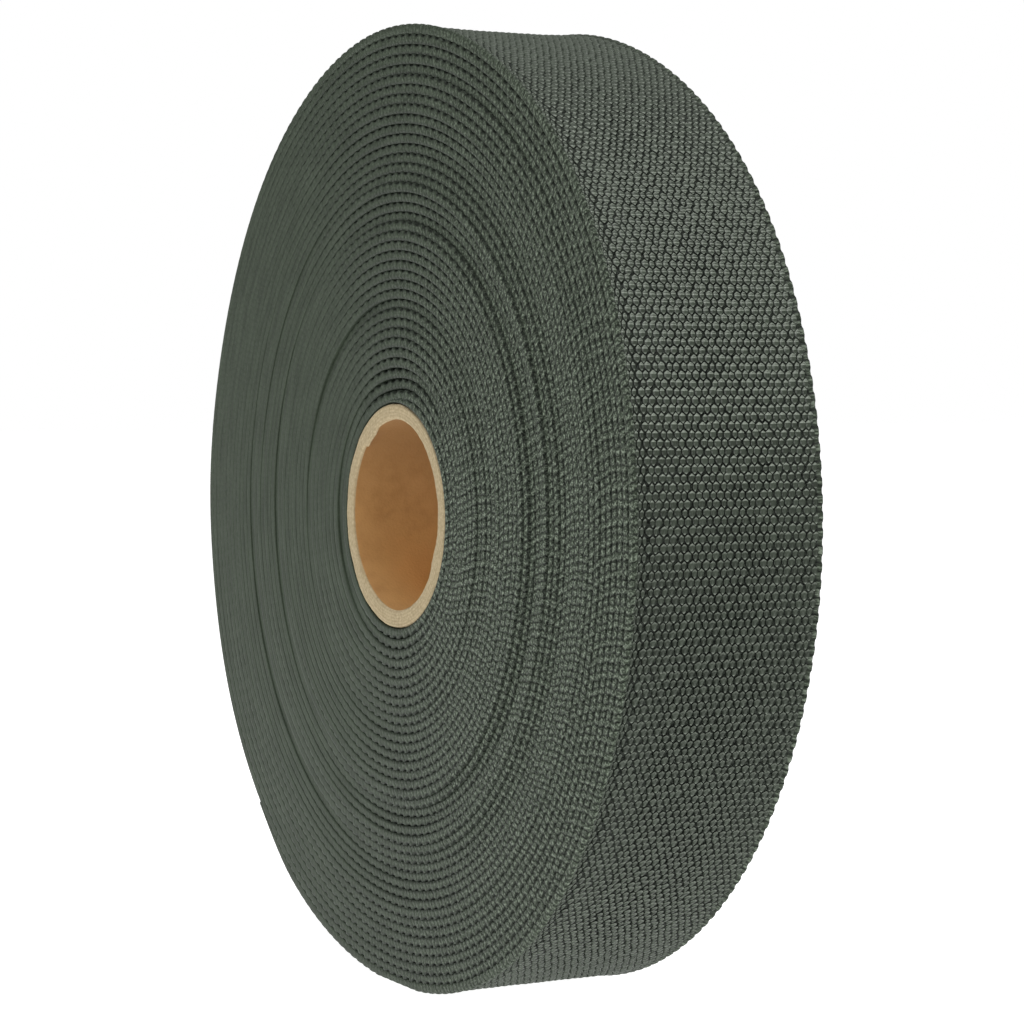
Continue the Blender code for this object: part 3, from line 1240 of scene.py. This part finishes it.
def make_board_look():
    look, shader = new_look("kraft_board_sawn", 0.85)
    place = add_node(look, "ShaderNodeTexCoord", output=3)
    from_axle = add_node(
        look, "ShaderNodeMapping", {"Vector": place, "Location": (-AXLE_X, 0.0, -CORE_Z)}
    )
    parts = add_node(look, "ShaderNodeSeparateXYZ", {"Vector": from_axle})
    flat = add_node(look, "ShaderNodeCombineXYZ", {"X": parts, "Z": parts.node.outputs["Z"]})
    reach = add_node(look, "ShaderNodeVectorMath", {0: flat}, 1, operation="LENGTH")
    fuzz = noise(look, place, 1500.0, 3.0, 0.6)
    blotch = noise(look, place, 420.0, 3.0, 0.6)
    cloud = noise(look, place, 150.0, 2.0, 0.5)
    brown = mixed(look, ramp(look, blotch, 0.35, 0.62), BORE_BROWN_DARK, BORE_BROWN)
    brown = mixed(look, ramp(look, cloud, 0.45, 0.70), brown, BORE_BROWN_LIGHT)
    # Painted shade at the top of the bore.
    high = ramp(look, parts.node.outputs["Z"], 0.0, BORE_HIGH, 0.0, 0.85)
    brown = mixed(look, high, brown, BORE_BROWN_PAINTED_SHADE)
    # Painted light deep inside the bore, at the bottom.
    low = ramp(look, parts.node.outputs["Z"], 0.0, BORE_LOW)
    deep = ramp(look, parts.node.outputs["Y"], *BORE_DEEP)
    brown = mixed(look, product(look, low, deep), brown, BORE_BROWN_PAINTED_LIGHT)
    ply_wave = product(look, reach, math.tau / (TUBE_WALL / PLIES))
    ply_wave = maths(look, "ADD", ply_wave, product(look, blotch, 2.5))
    ply_line = ramp(look, maths(look, "SINE", ply_wave), 0.2, 1.0, 0.0, 0.45)
    pale = mixed(look, ramp(look, fuzz, 0.3, 0.7), SAWN_PALE, SAWN_DARK)
    pale = mixed(look, ply_line, pale, SAWN_DARK)
    colour = mixed(look, ramp(look, stored(look, "sawn"), 0.35, 0.65), brown, pale)
    grain = maths(look, "ADD", fuzz, product(look, ply_line, 0.6))
    wire(look, shader, colour, bumped(look, grain, 0.0002, 0.7))
    return look


board_look = make_board_look()
print("made", board_look.name)

# %% [markdown]
# ## Dressing the pieces
# Each piece takes its material, rides with the roll and stands for the plain solid that it replaces.

# %% Dress the strap and the tube
def dress(piece, look, node):
    piece.data.materials.clear()
    piece.data.materials.append(look)
    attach(piece, "root")
    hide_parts(node)


for piece in strap_pieces:
    dress(piece, selvedge_look, "webbing")
for piece in float_pieces:
    dress(piece, float_look, "webbing")
dress(sealed_end, melted_look, "webbing")
dress(cut_tube, board_look, "core_tube")

for pattern in (inner_repeat, outer_repeat, thread_float, float_row):
    bpy.data.objects.remove(pattern)
print("pieces dressed:", len(strap_pieces) + len(float_pieces) + 2)

# %% [markdown]
# ## Floor and light
# The roll stands on a plain white light table. A broad lamp hangs above it, and the table lights it from
# below, so the upper and lower rims of the floats are lit, on top of their painted highlight, while their
# middles, which face the dimmer room, stay dark. The camera itself sees only plain white behind the roll.

# %% Floor and lights
ROOM_LIGHT = 0.245
TABLE_WHITE = 0.60
TABLE_GLOW = 1.00
LAMP_AZIMUTH = 60.0
LAMP_ELEVATION = 80.0
LAMP_DISTANCE = 1.2
LAMP_SIZE = 0.7
LAMP_WATTS = 10.5

bpy.ops.mesh.primitive_plane_add(size=12.0, location=(0.0, 0.0, -0.0002))
floor = bpy.context.object
floor.name = "floor"
place_in_mesh(floor)
floor_look, floor_shader = new_look("pale_floor", 0.9, 0.0)
floor_shader.inputs["Base Color"].default_value = (TABLE_WHITE, TABLE_WHITE, TABLE_WHITE, 1.0)
floor_shader.inputs["Emission Color"].default_value = (1.0, 1.0, 1.0, 1.0)
floor_shader.inputs["Emission Strength"].default_value = TABLE_GLOW
floor.data.materials.append(floor_look)

surround = bpy.data.worlds.new("pale_surround")
surround.use_nodes = True
backdrop = surround.node_tree.nodes["Background"]
backdrop.inputs["Color"].default_value = (1.0, 1.0, 1.0, 1.0)
seen = add_node(surround, "ShaderNodeLightPath", output="Is Camera Ray")
surround.node_tree.links.new(ramp(surround, seen, 0.0, 1.0, ROOM_LIGHT, 1.0), backdrop.inputs["Strength"])
bpy.context.scene.world = surround
bpy.context.scene.view_settings.view_transform = "Standard"

lamp_data = bpy.data.lights.new("overhead_lamp", "AREA")
lamp_data.size = LAMP_SIZE
lamp_data.energy = LAMP_WATTS
lamp = bpy.data.objects.new("overhead_lamp", lamp_data)
aim(lamp, Vector((AXLE_X, 0.0, AXLE_Z)), LAMP_AZIMUTH, LAMP_ELEVATION, LAMP_DISTANCE)
print("lamp:", lamp.name, LAMP_WATTS, "watts")
